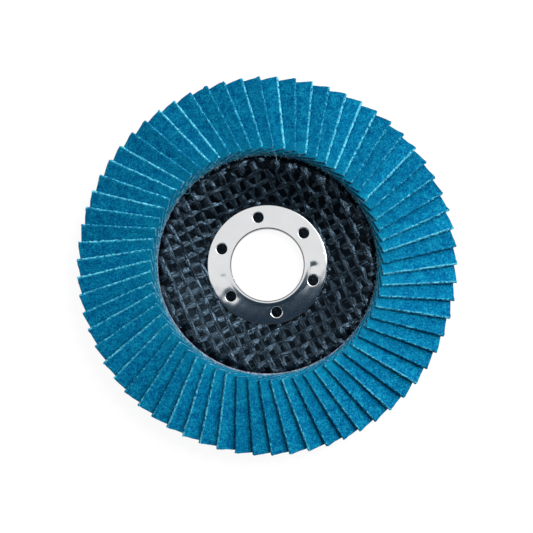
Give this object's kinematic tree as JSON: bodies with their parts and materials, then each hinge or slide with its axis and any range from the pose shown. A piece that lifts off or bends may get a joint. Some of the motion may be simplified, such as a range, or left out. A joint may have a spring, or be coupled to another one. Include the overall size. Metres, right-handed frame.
{
  "type": "flap disc",
  "caption": "Flap disc for an angle grinder: overlapping blue abrasive cloth flaps glued round a depressed black glass-fibre plate with a steel centre ring.",
  "frame": {"origin": "on the bore axis, in the rear face of the hub, which is the lowest face of the disc", "axes": "+Z along the bore axis, out of the abrasive side; +X and +Y lie in the plane of the disc"},
  "size_m": [0.115, 0.1148, 0.0142],
  "materials": {
    "plate_fibre": "black resin over glass mesh, slight sheen",
    "ring_steel": "bright tinned sheet steel",
    "mesh_resin": "black resin-coated glass yarn",
    "adhesive": "dark cured resin",
    "abrasive_cloth": "blue coated abrasive grain on cloth"
  },
  "bodies": {
    "root": {"backing_plate": "plate_fibre", "centre_ring": "ring_steel", "glass_mesh_front": "mesh_resin", "adhesive_bed": "adhesive", "flap_pair_01": "abrasive_cloth", "flap_pair_02": "abrasive_cloth", "flap_pair_03": "abrasive_cloth", "flap_pair_04": "abrasive_cloth", "flap_pair_05": "abrasive_cloth", "flap_pair_06": "abrasive_cloth", "flap_pair_07": "abrasive_cloth", "flap_pair_08": "abrasive_cloth", "flap_pair_09": "abrasive_cloth", "flap_pair_10": "abrasive_cloth", "flap_pair_11": "abrasive_cloth", "flap_pair_12": "abrasive_cloth", "flap_pair_13": "abrasive_cloth", "flap_pair_14": "abrasive_cloth", "flap_pair_15": "abrasive_cloth", "flap_pair_16": "abrasive_cloth", "flap_pair_17": "abrasive_cloth", "flap_pair_18": "abrasive_cloth", "flap_pair_19": "abrasive_cloth", "flap_pair_20": "abrasive_cloth", "flap_pair_21": "abrasive_cloth", "flap_pair_22": "abrasive_cloth", "flap_pair_23": "abrasive_cloth", "flap_pair_24": "abrasive_cloth", "flap_pair_25": "abrasive_cloth", "flap_pair_26": "abrasive_cloth", "flap_pair_27": "abrasive_cloth", "flap_pair_28": "abrasive_cloth", "flap_pair_29": "abrasive_cloth", "flap_pair_30": "abrasive_cloth", "flap_pair_31": "abrasive_cloth", "flap_pair_32": "abrasive_cloth", "flap_pair_33": "abrasive_cloth"}
  },
  "joints": []
}
